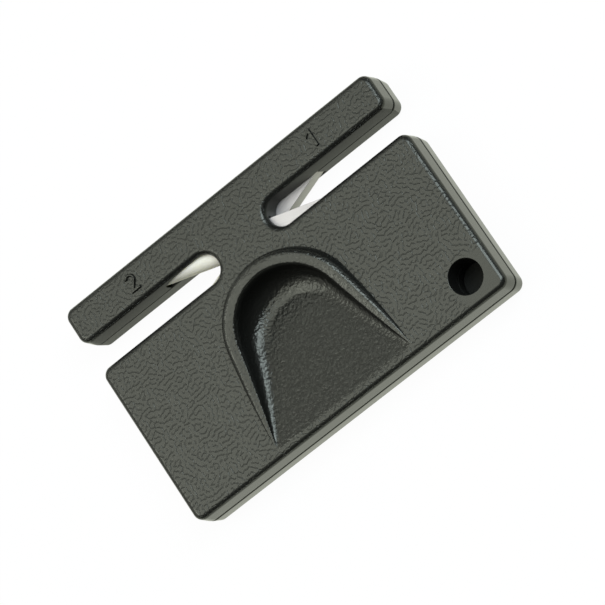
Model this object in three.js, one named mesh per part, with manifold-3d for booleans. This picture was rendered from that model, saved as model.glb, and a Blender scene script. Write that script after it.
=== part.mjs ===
// Pocket knife sharpener: two moulded half shells that clamp crossed ceramic rods in one slot
// and crossed carbide blades in the other. It lies on its back with the thumb scoop up.
// Millimetres, +X along the slots, +Y towards the bar, +Z out of the front face.
import * as THREE from 'three';
import { mergeVertices } from 'three/addons/utils/BufferGeometryUtils.js';
import Module from 'manifold-3d';

const wasm = await Module();
wasm.setup();

// Housing
const faceLength = 64;
const faceHeight = 41.4;
const thickness = 9;
const draftAngle = 2.7; // degrees, every wall leans in from the parting line
const cornerRadius = 1.8; // outline corners, at the parting line
const faceFillet = 1; // where the walls turn into a face
const partingChamfer = 0.15; // on both halves, makes the joint line
const wall = 1.6; // walls and faces round the cored pockets

// Slots
const slotWidth = 5.14; // at the face
const barHeight = 6.54; // from a slot to the top edge, at the face
const neckWidth = 10.8; // between the closed ends, at the face

// Crossed inserts
const halfAngle = 17.5; // degrees from the slot's centre line
const crossingX = 6.8; // where the two working edges of a slot cross
const insertGap = 0.15; // from an insert to the parting plane
const seatClearance = 0.28; // round an insert in its seat
const rodDiameter = 3;
const rodLength = 17.6;
const rodPastCrossing = 4.6; // length of a rod beyond the crossing, in the neck
const rodChamfer = 0.3;
const bladeLength = 15.2;
const bladeWidth = 4.3;
const bladeThickness = 2.85;
const bladePastCrossing = 4.2;
const bladeChamfer = 0.25;

// Corner hole, open to the front and closed by the back half
const holeDiameter = 5.75;
const holeFromSide = 5.2; // centre to the face's right edge
const holeFromBottom = 5;
const holeFillet = 0.12;
const holeWall = 1.6; // tube round the hole, inside

// Thumb scoop with its raised ridge
const scoopOffset = -0.3; // its middle line from the middle of the face
const ridgeRadius = 10.4; // middle of the crest, in plan
const legFlare = 13; // degrees, the legs spread towards the bottom edge
const ridgeHeight = 2.8; // crest above the face at the top of the arch
const ridgeFade = 1.9; // the crest sinks into the face this far above the bottom edge
const ridgeMargin = 0.5; // flat face left between the ridge's foot and the slots
const slopeRun = 1.35; // width of the ridge's outer slope, at the top of the arch
const crestLand = 1.15; // width of the flat along the crest, there too
const crestTilt = 8; // degrees, the flat falls inwards
const legTaper = 2.5; // slope and flat narrow towards the tips, the later the higher this is
const tipShare = 0.1; // of their width, left at the tips
const scoopDepth = 3.7; // floor below the face, where it meets the arch's wall
const rampMargin = 1.4; // the floor comes up to the face this far above the bottom edge
const wallRun = 1.2; // width of the scoop's wall where it is lowest
const wallSlope = 0.62; // and how much it widens per millimetre of drop
const footEase = 0.06; // share of the outer slope's width that its hollow foot takes
const crestEase = 0.38; // and share that its rounded top takes
const brinkEase = 0.1; // share of the scoop wall's width that its rounded brink takes
const coveEase = 1.25; // reach of the wide cove at its foot, above 1 the wall stands upright first

// Raised numerals on the bar that tell the two stages apart
const numeralHeight = 3.2;
const numeralRise = 0.4;
const numeralSpread = 19.1; // from the middle of the bar

// Cored pockets and the pegs that join the halves
const ribWidth = 1.5;
const coreRadius = 1;
const barCoreLength = 8.2;
const seatBlock = 6.4; // solid depth below the slots, which holds the lower seats
const scoopCoreWidth = 27; // plain pocket behind the scoop, in the back half
const rampCoreWidth = 17; // sloped pocket under the scoop's floor
const rampCoreLength = 11.1; // and its length up from the bottom wall
const pegDiameter = 2.4;
const pegLength = 2.2;
const pegClearance = 0.25;
const pegChamfer = 0.35;
const bossWall = 1.2;

// Facets
const cornerSteps = 4;
const slotEndSteps = 12;
const filletSteps = 3;
const holeSteps = 32;
const rodSteps = 24;
const pegSteps = 16;
const pocketSteps = 3;
const archSteps = 26;
const legSteps = 6;
const scoopSteps = 10;
const ridgeSteps = 5;
const numeralSteps = 8;

const below = 1; // how far a cut reaches past the parting plane
const half = thickness / 2;
const lean = (half - faceFillet) * Math.tan(THREE.MathUtils.degToRad(draftAngle));
const faceTop = faceHeight / 2;
const faceBottom = -faceHeight / 2;
const barBottom = faceTop - barHeight;
const bodyTop = barBottom - slotWidth;
const slotCentre = (barBottom + bodyTop) / 2;
const hole = new THREE.Vector2(faceLength / 2 - holeFromSide, faceBottom + holeFromBottom);

const plastic = { color: 0x2a2b29, roughness: 0.55, metalness: 0 };
const ceramic = { color: 0xdedbcf, roughness: 0.6, metalness: 0 };
const carbide = { color: 0xa9aca9, roughness: 0.35, metalness: 0.9 };

// Solids from geometry, and geometry from solids

function solid(geometry) {
  const bare = geometry.clone();
  bare.deleteAttribute('normal');
  bare.deleteAttribute('uv');
  const merged = mergeVertices(bare, 1e-4);
  const vertProperties = new Float32Array(merged.attributes.position.array);
  const triVerts = new Uint32Array(merged.index.array);
  return new wasm.Manifold(new wasm.Mesh({ numProp: 3, vertProperties, triVerts }));
}

function geometryOf(manifold) {
  const mesh = manifold.getMesh();
  const geometry = new THREE.BufferGeometry();
  geometry.setAttribute('position', new THREE.BufferAttribute(mesh.vertProperties, 3));
  geometry.setIndex(new THREE.BufferAttribute(mesh.triVerts, 1));
  geometry.computeVertexNormals();
  return geometry;
}

// A closed skin through rings of points, listed from the lowest ring up and capped at both ends
function loft(rings) {
  const count = rings[0].length;
  const points = rings.flat();
  const faces = [];
  for (let ring = 0; ring < rings.length - 1; ring += 1) {
    for (let i = 0; i < count; i += 1) {
      const a = ring * count + i;
      const b = ring * count + ((i + 1) % count);
      faces.push(a, b, b + count, a, b + count, a + count);
    }
  }
  const last = (rings.length - 1) * count;
  for (const [a, b, c] of THREE.ShapeUtils.triangulateShape(rings[0], [])) {
    faces.push(a, c, b);
  }
  for (const [a, b, c] of THREE.ShapeUtils.triangulateShape(rings.at(-1), [])) {
    faces.push(last + a, last + b, last + c);
  }
  const geometry = new THREE.BufferGeometry().setFromPoints(points);
  geometry.setIndex(faces);
  return geometry;
}

function extruded(shape, bottom, top) {
  const options = { depth: top - bottom, bevelEnabled: false, curveSegments: pocketSteps };
  const geometry = new THREE.ExtrudeGeometry(shape, options);
  return geometry.translate(0, 0, bottom);
}

// A turned solid on a vertical axis, from [radius, height] pairs listed upwards
function turned(profile, steps, x, y) {
  const outline = profile.map(([radius, height]) => new THREE.Vector2(radius, height));
  return solid(new THREE.LatheGeometry(outline, steps).rotateX(Math.PI / 2).translate(x, y, 0));
}

// A plain round post from below the parting plane up to a height
function post(radius, top, steps, x, y) {
  return turned([[0, -below], [radius, -below], [radius, top], [0, top]], steps, x, y);
}

// Outline of a half shell, set in from its widest line at the parting plane

function arcPoints(x, y, radius, from, to, steps) {
  const points = [];
  for (let i = 0; i <= steps; i += 1) {
    const angle = from + ((to - from) * i) / steps;
    points.push(new THREE.Vector2(x + radius * Math.cos(angle), y + radius * Math.sin(angle)));
  }
  return points;
}

function outline(inset) {
  const right = faceLength / 2 + lean - cornerRadius;
  const low = faceBottom - lean + cornerRadius;
  const shoulder = bodyTop + lean - cornerRadius;
  const barLow = barBottom - lean + cornerRadius;
  const high = faceTop + lean - cornerRadius;
  const endX = neckWidth / 2 + slotWidth / 2;
  const radius = cornerRadius - inset;
  const endRadius = slotWidth / 2 - lean + inset;
  const quarter = Math.PI / 2;
  const corner = (x, y, turn) => arcPoints(x, y, radius, turn * quarter, (turn + 1) * quarter, cornerSteps);
  return [
    ...corner(right, low, 3),
    ...corner(right, shoulder, 0),
    ...arcPoints(endX, slotCentre, endRadius, 3 * quarter, quarter, slotEndSteps),
    ...corner(right, barLow, 3),
    ...corner(right, high, 0),
    ...corner(-right, high, 1),
    ...corner(-right, barLow, 2),
    ...arcPoints(-endX, slotCentre, endRadius, quarter, -quarter, slotEndSteps),
    ...corner(-right, shoulder, 1),
    ...corner(-right, low, 2),
  ];
}

function ring(inset, z) {
  return outline(inset).map((point) => new THREE.Vector3(point.x, point.y, z));
}

// Drafted block of one half: joint chamfer, leaning walls, fillet, flat face
function outerBlock() {
  const rings = [ring(partingChamfer, 0), ring(0, partingChamfer), ring(lean, half - faceFillet)];
  for (let step = 1; step <= filletSteps; step += 1) {
    const angle = (Math.PI / 2) * (step / filletSteps);
    const inset = lean + faceFillet * (1 - Math.cos(angle));
    rings.push(ring(inset, half - faceFillet + faceFillet * Math.sin(angle)));
  }
  return solid(loft(rings));
}

// Thumb scoop: sections across the ridge, set along an arch with flared legs

const flare = THREE.MathUtils.degToRad(legFlare);
const landPitch = Math.tan(THREE.MathUtils.degToRad(crestTilt));
const archTop = bodyTop - faceFillet - ridgeMargin - slopeRun - crestLand / 2;
const archCentre = archTop - ridgeRadius;
const rampFoot = faceBottom + rampMargin;
const crestFoot = faceBottom + ridgeFade;
const brinkTop = ridgeHeight - crestLand * landPitch;
const floorTop = archTop - crestLand / 2 - wallRun - wallSlope * (brinkTop + scoopDepth);
const rampPitch = scoopDepth / (floorTop - rampFoot);
const scoopOverrun = 0.6; // the legs run on past the end of the ramp
const thinnest = 0.06; // least drop of the scoop's wall, at the tips

function archStations() {
  const stations = [];
  const tangent = archCentre + ridgeRadius * Math.sin(flare);
  const legDrop = tangent - (rampFoot - scoopOverrun);
  const leg = (side, share) => {
    const drop = legDrop * share;
    const x = scoopOffset + side * (ridgeRadius * Math.cos(flare) + drop * Math.tan(flare));
    stations.push({ x, y: tangent - drop, nx: -side * Math.cos(flare), ny: -Math.sin(flare) });
  };
  for (let i = 0; i < legSteps; i += 1) {
    leg(1, 1 - i / legSteps);
  }
  for (let i = 0; i <= archSteps; i += 1) {
    const angle = flare + ((Math.PI - 2 * flare) * i) / archSteps;
    const nx = -Math.cos(angle);
    const ny = -Math.sin(angle);
    stations.push({ x: scoopOffset - ridgeRadius * nx, y: archCentre - ridgeRadius * ny, nx, ny });
  }
  for (let i = 1; i <= legSteps; i += 1) {
    leg(-1, i / legSteps);
  }
  return stations;
}

const depthAt = (y) => rampPitch * (y - rampFoot);

// Measures of the ridge where a section is set
function ridgeAt(station) {
  const share = Math.max((archTop - station.y) / (archTop - crestFoot), 0);
  const taper = Math.max(1 - share ** legTaper, tipShare);
  const land = (crestLand / 2) * taper;
  const crest = ridgeHeight * (1 - share);
  return { station, run: slopeRun * taper, land, crest, brink: crest - 2 * land * landPitch };
}

function across(station, offset, z) {
  return new THREE.Vector3(station.x + station.nx * offset, station.y + station.ny * offset, half + z);
}

// An S from (0, 0) to (1, 1), level at both ends
function easedCurve(startEase, endEase) {
  return new THREE.CubicBezierCurve(
    new THREE.Vector2(0, 0), new THREE.Vector2(startEase, 0),
    new THREE.Vector2(1 - endEase, 1), new THREE.Vector2(1, 1));
}

// Solid under the ridge's outer slope and the flat along its crest
function ridgeSolid() {
  const sections = archStations().map(ridgeAt);
  const slope = easedCurve(footEase, crestEase);
  const rings = [sections.map(({ station, run, land }) => across(station, -land - run, -faceFillet))];
  for (let step = 0; step <= ridgeSteps; step += 1) {
    const point = slope.getPoint(step / ridgeSteps);
    rings.push(sections.map(({ station, run, land, crest }) => (
      across(station, -land - run * (1 - point.x), Math.min(crest * point.y, crest))
    )));
  }
  rings.push(sections.map(({ station, land, crest }) => (
    across(station, 2 * land, crest - 3 * land * landPitch)
  )));
  return solid(loft(rings));
}

// What the scoop takes away: its curved wall and the flat ramp that the thumb lies on
function scoopSolid() {
  const fall = easedCurve(brinkEase, coveEase);
  const sections = archStations().map(ridgeAt).map(({ station, land, brink }) => {
    const slack = wallRun + wallSlope * (brink + depthAt(station.y + station.ny * land));
    const run = Math.max(slack / (1 - wallSlope * rampPitch * station.ny), wallRun);
    const depth = depthAt(station.y + station.ny * (land + run));
    const drop = Math.max(brink + depth, thinnest);
    return { station, land, run, depth, drop };
  });
  const rings = [];
  for (let step = scoopSteps; step >= 0; step -= 1) {
    const point = fall.getPoint(step / scoopSteps);
    rings.push(sections.map(({ station, land, run, depth, drop }) => (
      across(station, land + run * point.x, -depth + drop * (1 - point.y))
    )));
  }
  rings.push(sections.map(({ station }) => across(station, 0, ridgeHeight + crestLand)));
  return solid(loft(rings));
}

// Numerals, in units of their own height

function numeralOne() {
  const stem = 0.1;
  const flag = 0.32;
  const drop = 0.2;
  return [
    [-stem, 0], [stem, 0], [stem, 1], [-stem, 1],
    [-flag, 1 - drop], [-flag, 1 - drop - 2 * stem], [-stem, 1 - 2 * stem],
  ].map(([x, y]) => new THREE.Vector2(x, y));
}

function numeralTwo() {
  const outer = 0.31;
  const inner = 0.13;
  const stroke = outer - inner;
  const start = THREE.MathUtils.degToRad(168);
  const end = THREE.MathUtils.degToRad(-40);
  const ahead = new THREE.Vector2(Math.sin(end), -Math.cos(end));
  const outside = arcPoints(0, 1 - outer, outer, start, end, numeralSteps);
  const inside = arcPoints(0, 1 - outer, inner, end, start, numeralSteps);
  const knee = outside.at(-1).clone();
  knee.addScaledVector(ahead, (knee.y - stroke) / -ahead.y);
  const heel = inside[0].clone();
  heel.addScaledVector(ahead, (heel.x + outer) / -ahead.x);
  const foot = [[outer, stroke], [outer, 0], [-outer, 0]].map(([x, y]) => new THREE.Vector2(x, y));
  return [...outside, knee, ...foot, heel, ...inside];
}

function numeral(points, x) {
  const corner = new THREE.Vector2(x, barBottom + (barHeight - numeralHeight) / 2);
  const placed = points.map((point) => point.clone().multiplyScalar(numeralHeight).add(corner));
  return solid(extruded(new THREE.Shape(placed), half - faceFillet, half + numeralRise));
}

// Seats of the inserts, in the insert's own frame: X along the working edge, Y away from it

function insertMatrix(turn) {
  const matrix = new THREE.Matrix4().makeTranslation(0, slotCentre, 0);
  matrix.multiply(new THREE.Matrix4().makeRotationZ(turn));
  matrix.multiply(new THREE.Matrix4().makeTranslation(-crossingX, 0, 0));
  return matrix.multiply(new THREE.Matrix4().makeRotationZ(-THREE.MathUtils.degToRad(halfAngle)));
}

function rodSeat() {
  const radius = rodDiameter / 2 + seatClearance;
  const centre = insertGap + rodDiameter / 2;
  const channel = new THREE.Shape();
  channel.moveTo(-radius, -below);
  channel.lineTo(radius, -below);
  channel.lineTo(radius, centre);
  channel.absarc(0, centre, radius, 0, Math.PI);
  const depth = rodLength + 2 * seatClearance;
  const options = { depth, bevelEnabled: false, curveSegments: rodSteps / 2 };
  const geometry = new THREE.ExtrudeGeometry(channel, options);
  const along = new THREE.Matrix4().makeBasis(
    new THREE.Vector3(0, 1, 0), new THREE.Vector3(0, 0, 1), new THREE.Vector3(1, 0, 0));
  geometry.applyMatrix4(along);
  return geometry.translate(rodPastCrossing - rodLength - seatClearance, rodDiameter / 2, 0);
}

function bladeShape(grow) {
  const left = bladePastCrossing - bladeLength - grow;
  const right = bladePastCrossing + grow;
  const far = bladeWidth + grow;
  const shape = new THREE.Shape();
  shape.moveTo(left, -grow);
  shape.lineTo(right, -grow);
  shape.lineTo(right, far - bladeChamfer);
  shape.lineTo(right - bladeChamfer, far);
  shape.lineTo(left + bladeChamfer, far);
  shape.lineTo(left, far - bladeChamfer);
  shape.closePath();
  return shape;
}

function bladeSeat() {
  return extruded(bladeShape(seatClearance), -below, insertGap + bladeThickness + seatClearance);
}

// Pockets that core out a half, so that its walls stay even

function pocket(left, right, low, high, top) {
  const shape = new THREE.Shape();
  const r = coreRadius;
  shape.moveTo(left + r, low);
  shape.lineTo(right - r, low);
  shape.absarc(right - r, low + r, r, -Math.PI / 2, 0);
  shape.lineTo(right, high - r);
  shape.absarc(right - r, high - r, r, 0, Math.PI / 2);
  shape.lineTo(left + r, high);
  shape.absarc(left + r, high - r, r, Math.PI / 2, Math.PI);
  shape.lineTo(left, low + r);
  shape.absarc(left + r, low + r, r, Math.PI, 1.5 * Math.PI);
  return solid(extruded(shape, -below, top));
}

// Sloped pocket that keeps the wall under the scoop's ramp even
function rampPocket() {
  const low = faceBottom + wall;
  const roof = (y) => half - depthAt(y) - wall;
  const profile = new THREE.Shape();
  const high = low + rampCoreLength;
  profile.moveTo(low, -below);
  profile.lineTo(high, -below);
  profile.lineTo(high, roof(high));
  profile.lineTo(low, roof(low));
  profile.closePath();
  const geometry = new THREE.ExtrudeGeometry(profile, { depth: rampCoreWidth, bevelEnabled: false });
  const sideways = new THREE.Matrix4().makeBasis(
    new THREE.Vector3(0, 1, 0), new THREE.Vector3(0, 0, 1), new THREE.Vector3(1, 0, 0));
  return solid(geometry.applyMatrix4(sideways).translate(-rampCoreWidth / 2, 0, 0));
}

const outerCore = faceLength / 2 - wall;
const lowCore = faceBottom + wall;
const coreTop = bodyTop - seatBlock;
const innerCore = scoopCoreWidth / 2 + ribWidth;
const middleRib = (lowCore + coreTop) / 2;
const barCentre = barBottom + barHeight / 2;
const bossRadius = pegDiameter / 2 + pegClearance + bossWall;
const pegPlaces = [
  [outerCore - barCoreLength / 2, barCentre],
  [(innerCore + outerCore) / 2, (middleRib + coreTop) / 2],
  [innerCore + pegDiameter, (lowCore + middleRib) / 2],
].flatMap(([x, y]) => [new THREE.Vector2(x, y), new THREE.Vector2(-x, y)]);

function cavity(scooped, holeX) {
  const top = half - wall;
  const plain = () => pocket(-scoopCoreWidth / 2, scoopCoreWidth / 2, lowCore, coreTop, top);
  const pockets = [scooped ? rampPocket() : plain()];
  for (const side of [1, -1]) {
    const span = (near, far) => (side > 0 ? [near, far] : [-far, -near]);
    const bar = span(outerCore - barCoreLength, outerCore);
    const body = span(innerCore, outerCore);
    pockets.push(pocket(...bar, barBottom + wall, faceTop - wall, top));
    pockets.push(pocket(...body, middleRib + ribWidth / 2, coreTop, top));
    pockets.push(pocket(...body, lowCore, middleRib - ribWidth / 2, top));
  }
  let hollow = pockets.reduce((sum, one) => sum.add(one));
  for (const place of pegPlaces) {
    hollow = hollow.subtract(post(bossRadius, half, pegSteps, place.x, place.y));
  }
  return hollow.subtract(post(holeDiameter / 2 + holeWall, half, holeSteps, holeX, hole.y));
}

function cornerHole(scooped, holeX) {
  const radius = holeDiameter / 2;
  if (!scooped) {
    return post(radius, half - wall, holeSteps, holeX, hole.y);
  }
  const mouth = radius + holeFillet;
  const rim = arcPoints(mouth, half - holeFillet, holeFillet, Math.PI, Math.PI / 2, filletSteps);
  const bore = [[0, -below], [radius, -below], ...rim.map((point) => [point.x, point.y])];
  return turned([...bore, [mouth, half + below], [0, half + below]], holeSteps, holeX, hole.y);
}

function peg(place) {
  const radius = pegDiameter / 2;
  const profile = [[0, -pegLength], [radius - pegChamfer, -pegLength], [radius, pegChamfer - pegLength]];
  return turned([...profile, [radius, below], [0, below]], pegSteps, place.x, place.y);
}

function socket(place) {
  return post(pegDiameter / 2 + pegClearance, pegLength + pegClearance, pegSteps, place.x, place.y);
}

// One half shell, parting plane at z = 0 and its face outwards
function halfShell({ scooped, holeX, upperSeat, lowerSeat }) {
  let shell = outerBlock();
  if (scooped) {
    shell = shell.add(ridgeSolid()).subtract(scoopSolid());
    shell = shell.add(numeral(numeralTwo(), -numeralSpread)).add(numeral(numeralOne(), numeralSpread));
  }
  shell = shell.subtract(cavity(scooped, holeX));
  shell = shell.subtract(solid(upperSeat.applyMatrix4(insertMatrix(0))));
  shell = shell.subtract(solid(lowerSeat.applyMatrix4(insertMatrix(Math.PI))));
  for (const place of pegPlaces) {
    shell = scooped ? shell.add(peg(place)) : shell.subtract(socket(place));
  }
  return geometryOf(shell.subtract(cornerHole(scooped, holeX)));
}

// Inserts

function rodGeometry() {
  const radius = rodDiameter / 2;
  const profile = [
    [0, 0], [radius - rodChamfer, 0], [radius, rodChamfer],
    [radius, rodLength - rodChamfer], [radius - rodChamfer, rodLength], [0, rodLength],
  ].map(([r, along]) => new THREE.Vector2(r, along));
  const geometry = new THREE.LatheGeometry(profile, rodSteps).rotateZ(-Math.PI / 2);
  return geometry.translate(rodPastCrossing - rodLength, radius, insertGap + radius);
}

function bladeGeometry() {
  return extruded(bladeShape(0), insertGap, insertGap + bladeThickness);
}

// Assembly: each half is a group on the parting plane, its inserts turned into their seats

function named(name, geometry, finish) {
  const mesh = new THREE.Mesh(geometry, new THREE.MeshStandardMaterial(finish));
  mesh.name = name;
  return mesh;
}

function seated(mesh, turn) {
  const seat = new THREE.Group();
  seat.applyMatrix4(insertMatrix(turn));
  seat.add(mesh);
  return seat;
}

function frontHalf() {
  const group = new THREE.Group();
  group.position.z = half;
  const shell = halfShell({ scooped: true, holeX: hole.x, upperSeat: rodSeat(), lowerSeat: bladeSeat() });
  group.add(named('front_shell', shell, plastic));
  group.add(seated(named('fine_rod_front', rodGeometry(), ceramic), 0));
  group.add(seated(named('coarse_blade_front', bladeGeometry(), carbide), Math.PI));
  return group;
}

function backHalf() {
  const group = new THREE.Group();
  group.position.z = half;
  group.rotation.y = Math.PI;
  const shell = halfShell({ scooped: false, holeX: -hole.x, upperSeat: bladeSeat(), lowerSeat: rodSeat() });
  group.add(named('back_shell', shell, plastic));
  group.add(seated(named('coarse_blade_back', bladeGeometry(), carbide), 0));
  group.add(seated(named('fine_rod_back', rodGeometry(), ceramic), Math.PI));
  return group;
}

const sharpener = new THREE.Group();
sharpener.add(frontHalf(), backHalf());

export default sharpener;
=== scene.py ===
import math

import bmesh
import bpy
from mathutils import Matrix, Vector
from mathutils.geometry import delaunay_2d_cdt


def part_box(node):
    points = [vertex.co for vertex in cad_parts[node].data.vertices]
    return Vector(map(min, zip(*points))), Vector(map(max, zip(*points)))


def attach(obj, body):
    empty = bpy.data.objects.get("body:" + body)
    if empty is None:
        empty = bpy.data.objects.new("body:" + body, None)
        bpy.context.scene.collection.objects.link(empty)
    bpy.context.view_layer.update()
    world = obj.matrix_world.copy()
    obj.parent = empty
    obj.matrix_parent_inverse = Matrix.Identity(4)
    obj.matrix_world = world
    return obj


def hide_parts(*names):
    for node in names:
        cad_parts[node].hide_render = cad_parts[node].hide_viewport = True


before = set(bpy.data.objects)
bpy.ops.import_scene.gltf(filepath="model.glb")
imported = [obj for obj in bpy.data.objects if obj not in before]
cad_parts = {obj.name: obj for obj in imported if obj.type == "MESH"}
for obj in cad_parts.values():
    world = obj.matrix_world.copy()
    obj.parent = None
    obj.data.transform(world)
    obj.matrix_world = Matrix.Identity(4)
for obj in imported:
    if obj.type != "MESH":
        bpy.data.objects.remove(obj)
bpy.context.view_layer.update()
scene = bpy.context.scene
scene.view_settings.view_transform = "Standard"
print("frame loaded:", len(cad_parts), "nodes")

# Camera: stands off the lower right corner and looks down on the front face
shot = {
    "eye": (0.16996, -0.16999, 0.58140),
    "aim": (0.00266, -0.00273, 0.009),
    "roll": math.radians(-81.008),
    "lens": 234.6,
}


def placeCamera():
    data = bpy.data.cameras.new("shotCamera")
    data.lens = shot["lens"]
    camera = bpy.data.objects.new("shotCamera", data)
    scene.collection.objects.link(camera)
    eye = Vector(shot["eye"])
    look = (Vector(shot["aim"]) - eye).to_track_quat("-Z", "Y").to_matrix().to_4x4()
    camera.matrix_world = Matrix.Translation(eye) @ look @ Matrix.Rotation(shot["roll"], 4, "Z")
    scene.camera = camera


placeCamera()
print("camera placed")

# Housing: the frame gives the outer sizes, these are the moulded details of both halves
housing = {
    "draft": math.radians(2.7),
    "cornerRadius": 0.0018,
    "faceFillet": 0.001,
    "grainFrom": 0.14,  # share of the fillet's width that stays plain
    "slotWidth": 0.00514,  # at the face
    "barHeight": 0.00654,
    "neckWidth": 0.0108,
    "gap": (0.00009, 0.0006, 0.00038),  # joint line on the outside: half width, depth, rounding
    "slotGap": (0.00003, 0.0003, 0.00016),  # and inside the slots
    "cornerSteps": 12,
    "slotEndSteps": 40,
    "filletSteps": 10,
    "gapSteps": 4,
    "sharpAngle": 35,  # degrees, edges above it stay sharp
}
cornerHole = {
    "diameter": 0.00575,
    "fromSide": 0.0052,
    "fromBottom": 0.005,
    "rim": 0.00012,
    "seam": 0.0002,  # rounding where the halves meet inside
    "floor": 0.0016,  # what the back half leaves under it
    "rimSteps": 6,
    "steps": 72,
}
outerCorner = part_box("back_shell")[1]
parting = outerCorner.z
lean = (parting - housing["faceFillet"]) * math.tan(housing["draft"])
faceHalfLength = outerCorner.x - lean
faceHalfHeight = outerCorner.y - lean
barBottom = faceHalfHeight - housing["barHeight"]
bodyTop = barBottom - housing["slotWidth"]
slotCentre = (barBottom + bodyTop) / 2
holeX = faceHalfLength - cornerHole["fromSide"]
holeY = cornerHole["fromBottom"] - faceHalfHeight


def arc(x, y, radius, start, end, steps):
    turns = [start + (end - start) * i / steps for i in range(steps + 1)]
    return [(x + radius * math.cos(turn), y + radius * math.sin(turn)) for turn in turns]


def atHeight(loop, z):
    return [Vector((point[0], point[1], z)) for point in loop]


def outline(inset):
    right = outerCorner.x - housing["cornerRadius"]
    low = housing["cornerRadius"] - outerCorner.y
    shoulder = bodyTop + lean - housing["cornerRadius"]
    barLow = barBottom - lean + housing["cornerRadius"]
    high = outerCorner.y - housing["cornerRadius"]
    endX = (housing["neckWidth"] + housing["slotWidth"]) / 2
    endRadius = housing["slotWidth"] / 2 - lean + inset
    quarter = math.pi / 2

    def corner(x, y, turn):
        start = turn * quarter
        radius = housing["cornerRadius"] - inset
        return arc(x, y, radius, start, start + quarter, housing["cornerSteps"])

    def slotEnd(x, start, end):
        return arc(x, slotCentre, endRadius, start, end, housing["slotEndSteps"])

    points = corner(right, low, 3) + corner(right, shoulder, 0)
    points += slotEnd(endX, 3 * quarter, quarter)
    points += corner(right, barLow, 3) + corner(right, high, 0)
    points += corner(-right, high, 1) + corner(-right, barLow, 2)
    points += slotEnd(-endX, quarter, -quarter)
    points += corner(-right, shoulder, 1) + corner(-right, low, 2)
    return points


def wallProfile(gap, gapDepth, gapRound):
    fillet = housing["faceFillet"]
    profile = [(gapDepth, 0), (gapDepth, gap)]
    for i in range(housing["gapSteps"] + 1):
        turn = math.pi / 2 * i / housing["gapSteps"]
        inset = gapRound * (1 - math.sin(turn))
        profile.append((inset, gap + gapRound * (1 - math.cos(turn))))
    for i in range(housing["filletSteps"] + 1):
        turn = math.pi / 2 * i / housing["filletSteps"]
        inset = lean + fillet * (1 - math.cos(turn))
        profile.append((inset, parting - fillet + fillet * math.sin(turn)))
    return profile


def wallRows():
    inSlot = [abs(y - slotCentre) < housing["slotWidth"] / 2 for x, y in outline(0)]
    rows = []
    for wide, tight in zip(wallProfile(*housing["gap"]), wallProfile(*housing["slotGap"])):
        outside = atHeight(outline(wide[0]), wide[1])
        inside = atHeight(outline(tight[0]), tight[1])
        rows.append([b if slot else a for a, b, slot in zip(outside, inside, inSlot)])
    return rows


# Thumb scoop: one section across the ridge and the wall, swept along an arch with flared legs
thumbScoop = {
    "offset": -0.0003,  # from the middle of the face
    "ridgeRadius": 0.0104,
    "legFlare": math.radians(13),
    "ridgeFade": 0.0019,
    "ridgeMargin": 0.0005,
    "slopeRun": 0.00135,
    "crestLand": 0.00115,
    "crestTilt": math.radians(9),  # the legs' crest falls inwards
    "legTaper": 2.5,  # higher keeps the legs wide for longer
    "tipShare": 0.1,
    "footEase": 0.06,
    "crestEase": 0.88,
    "depth": 0.0037,
    "rampMargin": 0.0014,
    "wallRun": 0.0012,
    "wallSlope": 0.62,
    "brinkEase": 0.3,
    "coveEase": 1.25,
    "archSteps": 96,
    "legSteps": 44,
    "slopeSteps": 14,
    "landSteps": 3,
    "wallSteps": 34,
}
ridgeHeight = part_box("front_shell")[1].z - 2 * parting
landPitch = math.tan(thumbScoop["crestTilt"])
ridgeFoot = bodyTop - housing["faceFillet"] - thumbScoop["ridgeMargin"]
wallTop = ridgeFoot - thumbScoop["slopeRun"] - thumbScoop["crestLand"]
archTop = wallTop + thumbScoop["crestLand"] / 2
archCentre = archTop - thumbScoop["ridgeRadius"]
rampFoot = thumbScoop["rampMargin"] - faceHalfHeight
crestFoot = thumbScoop["ridgeFade"] - faceHalfHeight
topDrop = ridgeHeight - thumbScoop["crestLand"] * landPitch + thumbScoop["depth"]
floorTop = wallTop - thumbScoop["wallRun"] - thumbScoop["wallSlope"] * topDrop
rampPitch = thumbScoop["depth"] / (floorTop - rampFoot)


def eased(startEase, endEase, steps):
    curve = []
    for i in range(steps + 1):
        t = i / steps
        x = 3 * (1 - t) ** 2 * t * startEase + 3 * (1 - t) * t * t * (1 - endEase) + t ** 3
        curve.append((x, t * t * (3 - 2 * t)))
    return curve


def archStations():
    radius, flare = thumbScoop["ridgeRadius"], thumbScoop["legFlare"]
    tangent = archCentre + radius * math.sin(flare)
    legDrop = tangent - rampFoot - math.sin(flare) * thumbScoop["wallRun"]

    def leg(side, share):
        drop = legDrop * share
        x = side * (radius * math.cos(flare) + drop * math.tan(flare))
        return thumbScoop["offset"] + x, tangent - drop, -side * math.cos(flare), -math.sin(flare)

    stations = [leg(1, 1 - i / thumbScoop["legSteps"]) for i in range(thumbScoop["legSteps"])]
    for i in range(thumbScoop["archSteps"] + 1):
        turn = flare + (math.pi - 2 * flare) * i / thumbScoop["archSteps"]
        nx, ny = -math.cos(turn), -math.sin(turn)
        stations.append((thumbScoop["offset"] - radius * nx, archCentre - radius * ny, nx, ny))
    stations += [leg(-1, (i + 1) / thumbScoop["legSteps"]) for i in range(thumbScoop["legSteps"])]
    return stations


def scoopDepthAt(y):
    return max(rampPitch * (y - rampFoot), 0)


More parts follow.
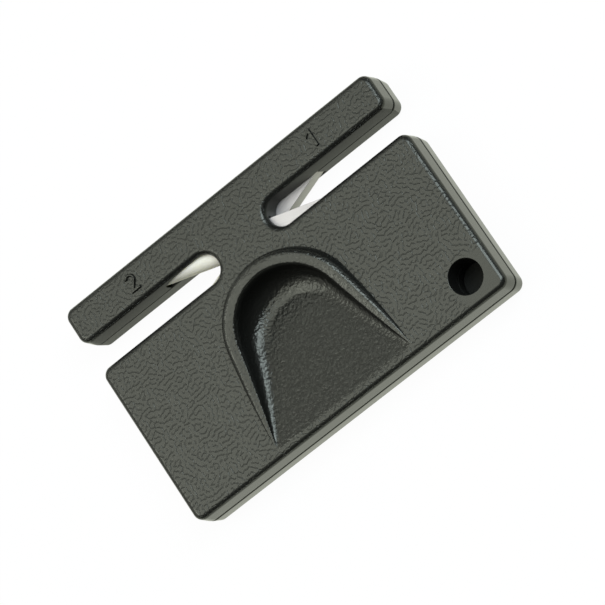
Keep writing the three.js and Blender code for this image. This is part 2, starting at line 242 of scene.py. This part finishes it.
def scoopSections():
    slope = eased(thumbScoop["footEase"], thumbScoop["crestEase"], thumbScoop["slopeSteps"])
    fall = eased(thumbScoop["brinkEase"], thumbScoop["coveEase"], thumbScoop["wallSteps"])
    sections = []
    for x, y, nx, ny in archStations():
        share = min(max((archTop - y) / (archTop - crestFoot), 0), 1)
        taper = max(1 - share ** thumbScoop["legTaper"], thumbScoop["tipShare"])
        crest = ridgeHeight * (1 - share)
        footRun = thumbScoop["slopeRun"] * taper
        land = thumbScoop["crestLand"] / 2 * taper
        brink = max(crest - 2 * land * landPitch * abs(nx), 0)
        drop = brink + rampPitch * (y + ny * land - rampFoot)
        slack = thumbScoop["wallRun"] + thumbScoop["wallSlope"] * drop
        run = max(slack / (1 - thumbScoop["wallSlope"] * rampPitch * ny), thumbScoop["wallRun"])
        depth = scoopDepthAt(y + ny * (land + run))
        points = [(-land - footRun * (1 - u), crest * v) for u, v in slope]
        for i in range(1, thumbScoop["landSteps"]):
            along = i / thumbScoop["landSteps"]
            points.append((land * (2 * along - 1), crest + (brink - crest) * along))
        points += [(land + run * u, brink - (brink + depth) * v) for u, v in fall]
        sections.append([Vector((x + nx * off, y + ny * off, parting + rise)) for off, rise in points])
    return sections


# Raised numerals that tell the two stages apart
numerals = {
    "height": 0.0032,
    "rise": 0.0004,
    "edge": 0.0002,  # how far the sides lean in
    "round": 0.00006,
    "spread": 0.0191,  # from the middle of the bar
    "arcSteps": 18,
}


def numeralOne():
    stem, flag, drop = 0.1, 0.32, 0.2
    tip = [(-stem, 1), (-flag, 1 - drop), (-flag, 1 - drop - 2 * stem), (-stem, 1 - 2 * stem)]
    return [(-stem, 0), (stem, 0), (stem, 1)] + tip


def numeralTwo():
    outer, inner, base = 0.31, 0.13, 0.18
    middle = 1 - outer
    start, end = math.radians(168), math.radians(-40)
    ahead = Vector((math.sin(end), -math.cos(end)))
    outside = arc(0, middle, outer, start, end, numerals["arcSteps"])
    inside = arc(0, middle, inner, end, start, numerals["arcSteps"])
    last, first = Vector(outside[-1]), Vector(inside[0])
    knee = last + ahead * ((last.y - base) / -ahead.y)
    heel = first + ahead * ((first.x + outer) / -ahead.x)
    return outside + [tuple(knee), (outer, base), (outer, 0), (-outer, 0), tuple(heel)] + inside


def numeralLoop(shape, x):
    size = numerals["height"]
    low = barBottom + housing["barHeight"] / 2 - size / 2
    loop = [Vector((x + u * size, low + v * size)) for u, v in shape]
    area = sum(a.x * b.y - b.x * a.y for a, b in zip(loop, loop[1:] + loop[:1]))
    if area < 0:
        loop.reverse()
    return loop


def inset2d(loop, amount):
    moved = []
    for i, point in enumerate(loop):
        before = (point - loop[i - 1]).normalized()
        after = (loop[(i + 1) % len(loop)] - point).normalized()
        normal = Vector((-before.y - after.y, before.x + after.x)).normalized()
        moved.append(point + normal * amount)
    return moved


# Mesh building: strips between rows of points and flat caps with holes
closeness = {
    "flat": 1e-8,
    "weld": 1e-7,
}
skinMark = {  # how much grain each face gets, and so how much painted light where it lies level
    "plain": 0,
    "floor": 0.1,
    "crest": 0.3,
    "numeral": 0.5,
    "slope": 0.6,
    "face": 1,
    "ridge": (0.45, 0.2),  # middle and reach of the marks that count as raised
}
sweepMark = {  # runs along the scoop's wall in millimetres
    "perMetre": 1000,
    "start": 1,
    "floor": -1,
}


def addStrip(bm, layer, rows, values, closed, sweep=None):
    made = [[bm.verts.new(point) for point in row] for row in rows]
    for upper in range(1, len(rows)):
        a, b = made[upper - 1], made[upper]
        for i in range(len(a) if closed else len(a) - 1):
            j = (i + 1) % len(a)
            face = bm.faces.new((a[i], a[j], b[j], b[i]))
            for corner, value in zip(face.loops, (values[upper - 1],) * 2 + (values[upper],) * 2):
                corner[layer] = value
            if sweep:
                for corner, k in zip(face.loops, (i, j, j, i)):
                    corner[sweep[0]] = sweep[1][k]


def addCap(bm, layer, loops, heightAt, value, mark=None):
    points, borders = [], []
    for loop in loops:
        borders.append(list(range(len(points), len(points) + len(loop))))
        points += [Vector((point[0], point[1])) for point in loop]
    holesOut = 5  # the kind of result that leaves the holes open
    flat, _, faces, *_ = delaunay_2d_cdt(points, [], borders, holesOut, closeness["flat"])
    verts = [bm.verts.new((point.x, point.y, heightAt(point.x, point.y))) for point in flat]
    for corners in faces:
        face = bm.faces.new([verts[i] for i in corners])
        for corner in face.loops:
            corner[layer] = value
            if mark:
                corner[mark[0]] = mark[1]


def circle(radius):
    turns = [2 * math.pi * i / cornerHole["steps"] for i in range(cornerHole["steps"])]
    return [(holeX + radius * math.cos(turn), holeY + radius * math.sin(turn)) for turn in turns]


def addHole(bm, layer, front):
    radius, rim, seam = cornerHole["diameter"] / 2, cornerHole["rim"], cornerHole["seam"]
    plain = skinMark["plain"]
    rows = [atHeight(circle(radius + seam), 0), atHeight(circle(radius), seam)]
    if not front:
        end = parting - cornerHole["floor"]
        rows.append(atHeight(circle(radius), end))
        addStrip(bm, layer, rows, [plain] * len(rows), True)
        addCap(bm, layer, [rows[-1]], lambda x, y: end, plain)
        return rows[0], None
    for i in range(cornerHole["rimSteps"] + 1):
        turn = math.pi / 2 * i / cornerHole["rimSteps"]
        ring = circle(radius + rim * (1 - math.cos(turn)))
        rows.append(atHeight(ring, parting - rim + rim * math.sin(turn)))
    addStrip(bm, layer, rows, [plain] * len(rows), True)
    return rows[0], rows[-1]


def addScoop(bm, layer):
    sections = scoopSections()
    columns = list(zip(*sections))
    slopeEnd = thumbScoop["slopeSteps"]
    landEnd = slopeEnd + thumbScoop["landSteps"]
    brinkLine = [section[landEnd] for section in sections]
    along = [0]
    for a, b in zip(brinkLine, brinkLine[1:]):
        along.append(along[-1] + (b - a).length)
    sweepLayer = bm.loops.layers.float["sweep"]
    run = [sweepMark["start"] + sweepMark["perMetre"] * step for step in along]
    slope, land, wall = columns[:slopeEnd + 1], columns[slopeEnd:landEnd + 1], columns[landEnd:]
    addStrip(bm, layer, slope, [skinMark["slope"]] * len(slope), False)
    addStrip(bm, layer, land, [skinMark["crest"]] * len(land), False)
    addStrip(bm, layer, wall, [skinMark["plain"]] * len(wall), False, (sweepLayer, run))
    addCap(bm, layer, [columns[-1]], lambda x, y: parting - scoopDepthAt(y), skinMark["floor"],
           (sweepLayer, sweepMark["floor"]))
    return list(columns[0]) + sections[-1][1:] + sections[0][:0:-1]


def addNumeral(bm, layer, shape, x):
    loop = numeralLoop(shape, x)
    top = parting + numerals["rise"]
    rows = [atHeight(loop, parting)]
    rows.append(atHeight(inset2d(loop, numerals["edge"] - numerals["round"]), top - numerals["round"]))
    rows.append(atHeight(inset2d(loop, numerals["edge"]), top))
    addStrip(bm, layer, rows, [skinMark["plain"]] * 2 + [skinMark["numeral"]], True)
    addCap(bm, layer, [rows[-1]], lambda x, y: top, skinMark["numeral"])
    return loop


def linkMesh(name, bm):
    bmesh.ops.recalc_face_normals(bm, faces=bm.faces)
    mesh = bpy.data.meshes.new(name)
    bm.to_mesh(mesh)
    bm.free()
    piece = bpy.data.objects.new(name, mesh)
    scene.collection.objects.link(piece)
    return piece


def halfSkin(name, front):
    bm = bmesh.new()
    layer = bm.loops.layers.float.new("grain")
    bm.loops.layers.float.new("sweep")
    rows = wallRows()
    plain = lean + housing["faceFillet"] * housing["grainFrom"]
    fade = []
    for inset, z in wallProfile(*housing["gap"]):
        fade.append(skinMark["face" if z > parting / 2 and inset > plain else "plain"])
    addStrip(bm, layer, rows, fade, True)
    lowHole, highHole = addHole(bm, layer, front)
    faceLoops = [rows[-1]]
    if front:
        faceLoops += [highHole, addScoop(bm, layer)]
        faceLoops.append(addNumeral(bm, layer, numeralTwo(), -numerals["spread"]))
        faceLoops.append(addNumeral(bm, layer, numeralOne(), numerals["spread"]))
    addCap(bm, layer, faceLoops, lambda x, y: parting, skinMark["face"])
    addCap(bm, layer, [rows[0], lowHole], lambda x, y: 0, skinMark["plain"])
    bmesh.ops.remove_doubles(bm, verts=bm.verts, dist=closeness["weld"])
    for vert in bm.verts:
        vert.co.z = parting + (vert.co.z if front else -vert.co.z)
    loose = sum(not edge.is_manifold for edge in bm.edges)
    print(name, len(bm.faces), "faces,", loose, "open edges")
    return linkMesh(name, bm)


# Inserts: ceramic rods and carbide blades, each turned into its seat
inserts = {
    "halfAngle": math.radians(17.5),
    "crossingX": 0.0068,
    "gap": 0.00015,  # to the parting plane
    "clearance": 0.00028,
    "reach": 0.001,  # how far past the parting plane the seats are cut
    "sharpAngle": 40,
}
rod = {
    "diameter": 0.003,
    "length": 0.0176,
    "pastCrossing": 0.0046,
    "endRound": 0.0003,
    "steps": 64,
    "roundSteps": 5,
    "seatSteps": 24,
}
blade = {
    "length": 0.0152,
    "width": 0.0043,
    "thickness": 0.00285,
    "pastCrossing": 0.0042,
    "chamfer": 0.00025,
    "edgeRound": 0.00006,
    "roundSteps": 2,
}
frontHalf = Matrix.Translation((0, 0, parting))
backHalf = frontHalf @ Matrix.Rotation(math.pi, 4, "Y")


def seatMatrix(half, turn):
    seat = half @ Matrix.Translation((0, slotCentre, 0)) @ Matrix.Rotation(turn, 4, "Z")
    crossing = Matrix.Translation((-inserts["crossingX"], 0, 0))
    return seat @ crossing @ Matrix.Rotation(-inserts["halfAngle"], 4, "Z")


def makeObject(name, bm, place):
    own = bm.verts.layers.float_vector.new("own")
    for vert in bm.verts:
        vert[own] = vert.co
    bm.transform(place)
    return linkMesh(name, bm)


def prism(bm, section, low, high, along):
    near = [bm.verts.new(along(point, low)) for point in section]
    far = [bm.verts.new(along(point, high)) for point in section]
    count = len(section)
    for i in range(count):
        bm.faces.new((near[i], near[(i + 1) % count], far[(i + 1) % count], far[i]))
    bm.faces.new(near)
    bm.faces.new(far)


def rodSeat(place):
    bm = bmesh.new()
    radius = rod["diameter"] / 2 + inserts["clearance"]
    axis = inserts["gap"] + rod["diameter"] / 2
    section = [(-radius, -inserts["reach"]), (radius, -inserts["reach"])]
    section += arc(0, axis, radius, 0, math.pi, rod["seatSteps"])
    low = rod["pastCrossing"] - rod["length"] - inserts["clearance"]
    high = rod["pastCrossing"] + inserts["clearance"]
    prism(bm, section, low, high, lambda point, x: (x, point[0] + rod["diameter"] / 2, point[1]))
    return makeObject("rodSeat", bm, place)


def bladeOutline(grow):
    left = blade["pastCrossing"] - blade["length"] - grow
    right = blade["pastCrossing"] + grow
    far, snip = blade["width"] + grow, blade["chamfer"]
    near = [(left, -grow), (right, -grow)]
    return near + [(right, far - snip), (right - snip, far), (left + snip, far), (left, far - snip)]


def bladeSeat(place):
    bm = bmesh.new()
    top = inserts["gap"] + blade["thickness"] + inserts["clearance"]
    section = bladeOutline(inserts["clearance"])
    prism(bm, section, -inserts["reach"], top, lambda point, z: (point[0], point[1], z))
    return makeObject("bladeSeat", bm, place)


def makeRod(name, place):
    bm = bmesh.new()
    radius, endRound = rod["diameter"] / 2, rod["endRound"]
    low = rod["pastCrossing"] - rod["length"]
    profile = []
    for i in range(rod["roundSteps"] + 1):
        turn = math.pi / 2 * i / rod["roundSteps"]
        reach = radius - endRound + endRound * math.sin(turn)
        profile.append((reach, endRound * (1 - math.cos(turn))))
    profile += [(r, rod["length"] - x) for r, x in reversed(profile)]
    turns = [2 * math.pi * i / rod["steps"] for i in range(rod["steps"])]
    axis = inserts["gap"] + radius
    rows = []
    for r, x in profile:
        ring = [(low + x, radius + r * math.cos(turn), axis + r * math.sin(turn)) for turn in turns]
        rows.append([bm.verts.new(point) for point in ring])
    for a, b in zip(rows, rows[1:]):
        for i in range(rod["steps"]):
            j = (i + 1) % rod["steps"]
            bm.faces.new((a[i], a[j], b[j], b[i]))
    bm.faces.new(rows[0])
    bm.faces.new(rows[-1])
    return makeObject(name, bm, place)


def makeBlade(name, place):
    bm = bmesh.new()
    low, high = inserts["gap"], inserts["gap"] + blade["thickness"]
    prism(bm, bladeOutline(0), low, high, lambda point, z: (point[0], point[1], z))
    bmesh.ops.bevel(bm, geom=bm.edges[:], offset=blade["edgeRound"], segments=blade["roundSteps"],
                    affect="EDGES", profile=0.5)
    return makeObject(name, bm, place)


def bake(piece):
    depsgraph = bpy.context.evaluated_depsgraph_get()
    done = piece.evaluated_get(depsgraph)
    mesh = bpy.data.meshes.new_from_object(done, preserve_all_data_layers=True, depsgraph=depsgraph)
    piece.modifiers.clear()
    piece.data = mesh


def cut(piece, cutters):
    for cutter in cutters:
        modifier = piece.modifiers.new(cutter.name, "BOOLEAN")
        modifier.object = cutter
        modifier.operation = "DIFFERENCE"
        modifier.solver = "EXACT"
    bake(piece)
    for cutter in cutters:
        bpy.data.objects.remove(cutter)


def smooth(piece, angle):
    piece.data.shade_smooth()
    piece.data.set_sharp_from_angle(angle=math.radians(angle))
    modifier = piece.modifiers.new("flatFaces", "WEIGHTED_NORMAL")
    modifier.keep_sharp = True
    bake(piece)


frontShell = halfSkin("frontShell", True)
cut(frontShell, [rodSeat(seatMatrix(frontHalf, 0)), bladeSeat(seatMatrix(frontHalf, math.pi))])
backShell = halfSkin("backShell", False)
cut(backShell, [bladeSeat(seatMatrix(backHalf, 0)), rodSeat(seatMatrix(backHalf, math.pi))])
for shell in (frontShell, backShell):
    smooth(shell, housing["sharpAngle"])
print("shells built:", len(frontShell.data.polygons), len(backShell.data.polygons), "faces")

fineRodFront = makeRod("fineRodFront", seatMatrix(frontHalf, 0))
fineRodBack = makeRod("fineRodBack", seatMatrix(backHalf, math.pi))
coarseBladeFront = makeBlade("coarseBladeFront", seatMatrix(frontHalf, math.pi))
coarseBladeBack = makeBlade("coarseBladeBack", seatMatrix(backHalf, 0))
for insert in (fineRodFront, fineRodBack, coarseBladeFront, coarseBladeBack):
    smooth(insert, inserts["sharpAngle"])
print("inserts built")


# Finishes
def newMaterial(name):
    material = bpy.data.materials.new(name)
    material.use_nodes = True
    return material, material.node_tree, material.node_tree.nodes["Principled BSDF"]


def plug(tree, value, socket):
    if isinstance(value, bpy.types.NodeSocket):
        tree.links.new(value, socket)
    else:
        socket.default_value = value


def node(tree, kind, settings=None, **inputs):
    made = tree.nodes.new("ShaderNode" + kind)
    for key, value in (settings or {}).items():
        setattr(made, key, value)
    for key, value in inputs.items():
        plug(tree, value, made.inputs[key.replace("_", " ")])
    return made


def operate(tree, kind, operation, values):
    made = node(tree, kind, {"operation": operation})
    for socket, value in zip(made.inputs, values):
        plug(tree, value, socket)
    return made.outputs


def math2(tree, operation, *values):
    return operate(tree, "Math", operation, values)[0]


def vector2(tree, operation, *values):
    return operate(tree, "VectorMath", operation, values)


def ramp(tree, value, start, end, low=0.0, high=1.0, kind="LINEAR"):
    made = node(tree, "MapRange", {"interpolation_type": kind}, Value=value,
                From_Min=start, From_Max=end, To_Min=low, To_Max=high)
    return made.outputs["Result"]


def mixColour(tree, factor, first, second):
    return node(tree, "Mix", {"data_type": "RGBA"}, Factor=factor, A=first, B=second).outputs["Result"]


def bump(tree, height, distance, normal=None, invert=False):
    made = node(tree, "Bump", {"invert": invert}, Strength=1.0, Distance=distance, Height=height)
    if normal is not None:
        tree.links.new(normal, made.inputs["Normal"])
    return made.outputs["Normal"]


grainLook = {
    "cell": 420,  # per metre
    "frequency": 2.9,
    "warpScale": 800,
    "warp": 0.0006,
    "line": (0.02, 0.18),  # share of the pattern's period, from the bed of a groove to its lip
    "depth": 0.000032,
    "speckScale": 5200,
    "speckDepth": 0.000008,
    "floorSpeck": 1.6,  # stronger on the scoop's floor
    "floorFleck": (0.5, 0.6, 0.75),  # where its pale flecks begin and end, and how pale they are
    "clearOff": (0.0016, -0.0015),  # plain patch, from the hole towards the corner
    "clearRadius": (0.0040, 0.0052),
    # painted shade: a darker colour laid into the grain's grooves
    "paintedGrooveShade": (0.0050, 0.0053, 0.0046, 1),
    "plain": (0.0082, 0.0086, 0.0075, 1),  # on walls, fillets and the scoop: the darker tone, painted shade against the level faces
    "light": (0.0125, 0.0132, 0.0114, 1),  # painted light: a lighter tone where a grained surface lies level
    "flat": (0.75, 0.97),  # how level a surface is before it gets the painted lighter tone and dust
    "dust": (0.0230, 0.0238, 0.0205, 1),
    "dustSpread": (0.52, 0.72, 0.8),  # specks between these are dusty, and how much
    "roughness": (0.15, 0.42, 0.25),  # smooth walls, grooves, lands
    "wear": 0.16,  # how much the specks vary it
    "slotRoughness": 0.5,
    "slotMargin": 0.0001,
    "boreRoughness": 0.6,
    "gloss": 0.5,
    "boreGloss": 0.22,
    "ior": 1.5,
    "tint": (0.95, 1, 0.87, 1),
}
drawnWall = {
    "roughness": 0.2,
    "streaks": 1.7,  # per millimetre along the arch
    "depth": 0.00003,
    "peelScale": 1900,
    "peelDepth": 0.00012,
    "peelShare": (0.06, 0.9, 0.6),  # of it everywhere, more on the scoop's floor and on the ridge
}


# worm grooves: the middle contour of a wandering pattern
def grooveLine(tree, where):
    stir = node(tree, "TexNoise", Vector=where, Scale=grainLook["warpScale"], Detail=1.0).outputs["Color"]
    bent = vector2(tree, "MULTIPLY_ADD", stir, (grainLook["warp"],) * 3, where)[0]
    gabor = node(tree, "TexGabor", {"gabor_type": "2D"}, Vector=bent, Scale=grainLook["cell"],
                 Frequency=grainLook["frequency"], Anisotropy=0.0)
    off = math2(tree, "ABSOLUTE", math2(tree, "SUBTRACT", gabor.outputs["Phase"], 0.5))
    bed, lip = grainLook["line"]
    return ramp(tree, off, bed, lip, 1.0, 0.0, "SMOOTHSTEP")


def fromAxis(tree, where, x, y):
    flat = vector2(tree, "MULTIPLY", where, (1, 1, 0))[0]
    return vector2(tree, "DISTANCE", flat, (x, y, 0))["Value"]


def shellPlastic():
    material, tree, bsdf = newMaterial("shellPlastic")
    where = node(tree, "TexCoord").outputs["Object"]
    spot = node(tree, "SeparateXYZ", Vector=where).outputs
    grain = node(tree, "Attribute", {"attribute_name": "grain"}).outputs["Fac"]
    sweep = node(tree, "Attribute", {"attribute_name": "sweep"}).outputs["Fac"]
    onBack = math2(tree, "LESS_THAN", spot["Z"], cornerHole["floor"] / 2)
    onFloor = math2(tree, "LESS_THAN", sweep, sweepMark["floor"] / 2)
    onRidge = math2(tree, "COMPARE", grain, *skinMark["ridge"])
    drawn = math2(tree, "GREATER_THAN", sweep, sweepMark["start"] / 2)

    # grain: grooves and specks, left out round the hole
    near, far = grainLook["clearRadius"]
    patch = fromAxis(tree, where, holeX + grainLook["clearOff"][0], holeY + grainLook["clearOff"][1])
    clear = ramp(tree, patch, near, far, kind="SMOOTHSTEP")
    grained = math2(tree, "MULTIPLY", grain, math2(tree, "MAXIMUM", clear, onBack))
    groove = math2(tree, "MULTIPLY", grooveLine(tree, where), grained)
    speck = node(tree, "TexNoise", Vector=where, Scale=grainLook["speckScale"], Detail=2.0,
                 Roughness=0.6).outputs["Fac"]
    flecked = math2(tree, "MULTIPLY_ADD", onFloor, grainLook["floorSpeck"], grained)

    # draw marks down the scoop's wall, and a peel that is strongest in the scoop
    streak = node(tree, "TexNoise", {"noise_dimensions": "1D"}, W=sweep, Scale=drawnWall["streaks"],
                  Detail=2.0).outputs["Fac"]
    peel = node(tree, "TexNoise", Vector=where, Scale=drawnWall["peelScale"], Detail=2.0).outputs["Fac"]
    plainPeel, floorPeel, ridgePeel = drawnWall["peelShare"]
    peeled = math2(tree, "MULTIPLY_ADD", onFloor, floorPeel, plainPeel)
    peeled = math2(tree, "MAXIMUM", math2(tree, "MULTIPLY_ADD", onRidge, ridgePeel, peeled), drawn)

    normal = bump(tree, groove, grainLook["depth"], invert=True)
    for pattern, mask, depth in (
        (speck, flecked, grainLook["speckDepth"]),
        (streak, drawn, drawnWall["depth"]),
        (peel, peeled, drawnWall["peelDepth"]),
    ):
        normal = bump(tree, math2(tree, "MULTIPLY", pattern, mask), depth, normal)
    tree.links.new(normal, bsdf.inputs["Normal"])

    # colour: painted light on level lands, painted shade in the grooves, and a little dust
    facing = node(tree, "SeparateXYZ", Vector=node(tree, "NewGeometry").outputs["Normal"]).outputs["Z"]
    flatness = ramp(tree, math2(tree, "ABSOLUTE", facing), *grainLook["flat"])
    # painted light: level grained surfaces get the lighter tone, walls and fillets stay darker
    levelLight = math2(tree, "MULTIPLY", flatness, grain)
    levelLit = mixColour(tree, levelLight, grainLook["plain"], grainLook["light"])
    # painted shade: the grooves get the darker colour
    grooveShaded = mixColour(tree, groove, levelLit, grainLook["paintedGrooveShade"])
    dustFrom, dustTo, dustShare = grainLook["dustSpread"]
    dusty = ramp(tree, speck, dustFrom, dustTo, high=dustShare)
    fleckFrom, fleckTo, fleckShare = grainLook["floorFleck"]
    fleck = ramp(tree, peel, fleckFrom, fleckTo, high=fleckShare)
    dust = math2(tree, "MULTIPLY", math2(tree, "MULTIPLY", dusty, flecked), flatness)
    dust = math2(tree, "MULTIPLY_ADD", fleck, onFloor, dust)
    tree.links.new(mixColour(tree, dust, grooveShaded, grainLook["dust"]), bsdf.inputs["Base Color"])

    # roughness: each mask in turn takes over from the plain wall
    smoothWall, rough, landRough = grainLook["roughness"]
    slotReach = housing["slotWidth"] / 2 + grainLook["slotMargin"]
    inSlot = math2(tree, "COMPARE", spot["Y"], slotCentre, slotReach)
    boreReach = cornerHole["diameter"] / 2 + cornerHole["rim"] / 2
    inBore = math2(tree, "LESS_THAN", fromAxis(tree, where, holeX, holeY), boreReach)
    inBore = math2(tree, "GREATER_THAN", inBore, onBack)
    finish = smoothWall
    for mask, value in (
        (inSlot, grainLook["slotRoughness"]),
        (inBore, grainLook["boreRoughness"]),
        (drawn, drawnWall["roughness"]),
        (grain, landRough),
        (groove, rough),
    ):
        finish = ramp(tree, mask, 0.0, 1.0, finish, value)
    lower = math2(tree, "SUBTRACT", finish, grainLook["wear"] / 2)
    worn = math2(tree, "MULTIPLY_ADD", speck, grainLook["wear"], lower)
    tree.links.new(worn, bsdf.inputs["Roughness"])
    dulled = ramp(tree, inBore, 0.0, 1.0, grainLook["gloss"], grainLook["boreGloss"])
    tree.links.new(dulled, bsdf.inputs["Specular IOR Level"])
    bsdf.inputs["IOR"].default_value = grainLook["ior"]
    bsdf.inputs["Specular Tint"].default_value = grainLook["tint"]
    return material


ceramicLook = {
    "cream": (0.79, 0.78, 0.665, 1),
    "shade": (0.72, 0.705, 0.59, 1),
    "scale": 4200,
    "mottle": (0.35, 0.75),
    "through": 0.7,  # share of the light that goes in
    "bleed": 0.002,  # how far it spreads inside
    "bleedTint": (1, 1, 0.85),
    "roughness": (0.38, 0.55),
    "depth": 0.000005,
}
carbideLook = {
    "bright": (0.52, 0.51, 0.485, 1),
    "dull": (0.455, 0.445, 0.43, 1),
    "lines": (260, 9000, 9000),  # grinding lines run along the blade
    "contrast": (0.3, 0.7),
    "metallic": 0.8,
    "roughness": (0.46, 0.58),
    "depth": 0.000004,
}


def twoTone(tree, bsdf, pattern, first, second, look):
    tree.links.new(mixColour(tree, pattern, first, second), bsdf.inputs["Base Color"])
    tree.links.new(ramp(tree, pattern, 0.0, 1.0, *look["roughness"]), bsdf.inputs["Roughness"])
    tree.links.new(bump(tree, pattern, look["depth"]), bsdf.inputs["Normal"])


def rodCeramic():
    material, tree, bsdf = newMaterial("rodCeramic")
    own = node(tree, "Attribute", {"attribute_name": "own"}).outputs["Vector"]
    fired = node(tree, "TexNoise", Vector=own, Scale=ceramicLook["scale"], Detail=3.0, Roughness=0.65)
    mottle = ramp(tree, fired.outputs["Fac"], *ceramicLook["mottle"])
    twoTone(tree, bsdf, mottle, ceramicLook["cream"], ceramicLook["shade"], ceramicLook)
    bsdf.inputs["Subsurface Weight"].default_value = ceramicLook["through"]
    bsdf.inputs["Subsurface Radius"].default_value = ceramicLook["bleedTint"]
    bsdf.inputs["Subsurface Scale"].default_value = ceramicLook["bleed"]
    return material


def bladeCarbide():
    material, tree, bsdf = newMaterial("bladeCarbide")
    own = node(tree, "Attribute", {"attribute_name": "own"}).outputs["Vector"]
    stretched = vector2(tree, "MULTIPLY", own, carbideLook["lines"])[0]
    ground = node(tree, "TexNoise", Vector=stretched, Scale=1.0, Detail=3.0, Roughness=0.6)
    lines = ramp(tree, ground.outputs["Fac"], *carbideLook["contrast"])
    twoTone(tree, bsdf, lines, carbideLook["bright"], carbideLook["dull"], carbideLook)
    bsdf.inputs["Metallic"].default_value = carbideLook["metallic"]
    return material


plastic, ceramic, carbide = shellPlastic(), rodCeramic(), bladeCarbide()
for piece, nodeName, slot, material in (
    (frontShell, "front_shell", "shell_plastic", plastic),
    (backShell, "back_shell", "shell_plastic", plastic),
    (fineRodFront, "fine_rod_front", "rod_ceramic", ceramic),
    (fineRodBack, "fine_rod_back", "rod_ceramic", ceramic),
    (coarseBladeFront, "coarse_blade_front", "blade_carbide", carbide),
    (coarseBladeBack, "coarse_blade_back", "blade_carbide", carbide),
):
    piece.data.materials.clear()
    piece.data.materials.append(material)
    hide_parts(nodeName)
    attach(piece, "root")
print("finishes set")

# Studio: white floor, a dim sky with one bright side, and five soft boxes
studio = {
    "floorSize": 20,
    "floorColour": (0.86, 0.86, 0.86, 1),
    "floorRoughness": 0.9,
    "floorDrop": 0.00003,  # keeps it clear of the back
    "floorWhite": 0.96,  # share of plain white that the camera sees
    "floorMirror": 0.84,  # and that the object itself sees
    "floorGlow": (0.97, 1, 0.85, 1),
    "skyColour": (1, 0.985, 0.95, 1),
    "skyDark": 0.065,
    "skyBright": 0.9,
    "skyFrom": (-0.6, 0.3, 0.74),  # the bright side, behind and left of the object
    "skyEdge": (0.5, 0.95),  # cosines from that side where the light fades in
    "skyRise": (0.08, 0.42),  # and heights above the horizon
}


def makeFloor():
    bm = bmesh.new()
    bmesh.ops.create_grid(bm, x_segments=1, y_segments=1, size=studio["floorSize"] / 2)
    floor = makeObject("floor", bm, Matrix.Translation((0, 0, -studio["floorDrop"])))
    material, tree, bsdf = newMaterial("paleFloor")
    bsdf.inputs["Base Color"].default_value = studio["floorColour"]
    bsdf.inputs["Roughness"].default_value = studio["floorRoughness"]
    path = node(tree, "LightPath").outputs
    seen = math2(tree, "MULTIPLY", path["Is Camera Ray"], studio["floorWhite"])
    mirrored = math2(tree, "MAXIMUM", path["Is Glossy Ray"], path["Is Diffuse Ray"])
    dimmed = math2(tree, "MULTIPLY", mirrored, studio["floorMirror"])
    white = node(tree, "Emission", Color=(1, 1, 1, 1), Strength=1.0)
    glow = node(tree, "Emission", Color=studio["floorGlow"], Strength=1.0)
    surface = bsdf.outputs[0]
    under = node(tree, "NewGeometry").outputs["Backfacing"]  # open to a look from below
    for amount, light in ((seen, white), (dimmed, glow), (under, node(tree, "BsdfTransparent"))):
        mix = node(tree, "MixShader")
        tree.links.new(amount, mix.inputs[0])
        tree.links.new(surface, mix.inputs[1])
        tree.links.new(light.outputs[0], mix.inputs[2])
        surface = mix.outputs[0]
    tree.links.new(surface, tree.nodes["Material Output"].inputs["Surface"])
    floor.data.materials.append(material)


def makeSky():
    world = bpy.data.worlds.new("studioSky")
    scene.world = world
    world.use_nodes = True
    tree = world.node_tree
    background = tree.nodes["Background"]
    where = node(tree, "TexCoord").outputs["Generated"]
    facing = vector2(tree, "DOT_PRODUCT", where, studio["skyFrom"])["Value"]
    near = ramp(tree, facing, *studio["skyEdge"], kind="SMOOTHSTEP")
    height = node(tree, "SeparateXYZ", Vector=where).outputs["Z"]
    above = ramp(tree, height, *studio["skyRise"], kind="SMOOTHSTEP")
    share = math2(tree, "MULTIPLY", near, above)
    below = math2(tree, "LESS_THAN", height, 0)
    level = math2(tree, "MULTIPLY_ADD", share, studio["skyBright"] - studio["skyDark"], studio["skyDark"])
    level = math2(tree, "MULTIPLY_ADD", below, studio["floorMirror"], level)
    onCamera = node(tree, "LightPath").outputs["Is Camera Ray"]
    level = math2(tree, "MAXIMUM", level, onCamera)  # plain white behind
    tree.links.new(level, background.inputs["Strength"])
    background.inputs["Color"].default_value = studio["skyColour"]


def addLamp(name, place, size, power, colour):
    data = bpy.data.lights.new(name, "AREA")
    data.shape = "RECTANGLE"
    data.size, data.size_y = size
    data.energy = power
    data.color = colour
    lamp = bpy.data.objects.new(name, data)
    scene.collection.objects.link(lamp)
    back = Vector(place).normalized()
    up = (Vector((0, 1, 0)) - back * back.y).normalized()
    turn = Matrix((up.cross(back), up, back)).transposed().to_4x4()
    lamp.matrix_world = Matrix.Translation(place) @ turn
    lamp.visible_camera = False


makeFloor()
makeSky()
warm, cool = (1, 0.99, 0.96), (0.82, 0.9, 1)
lamps = {  # place, size, power, colour
    "overheadBox": ((-0.17, 0.02, 0.92), (0.48, 0.64), 1.77, warm),
    "coolBox": ((0.5, 0.12, 0.85), (0.7, 0.45), 7.6, cool),
    "sideBox": ((0.93, 0.28, 0.2), (0.4, 0.8), 0.62, cool),
    "leftBox": ((-0.57, 0.12, 0.81), (0.24, 0.5), 1.65, warm),
    "rearBox": ((-0.1, 0.58, 0.8), (0.14, 0.14), 0.1, warm),
}
for name, (place, size, power, colour) in lamps.items():
    addLamp(name, place, size, power, colour)
print("studio lit")
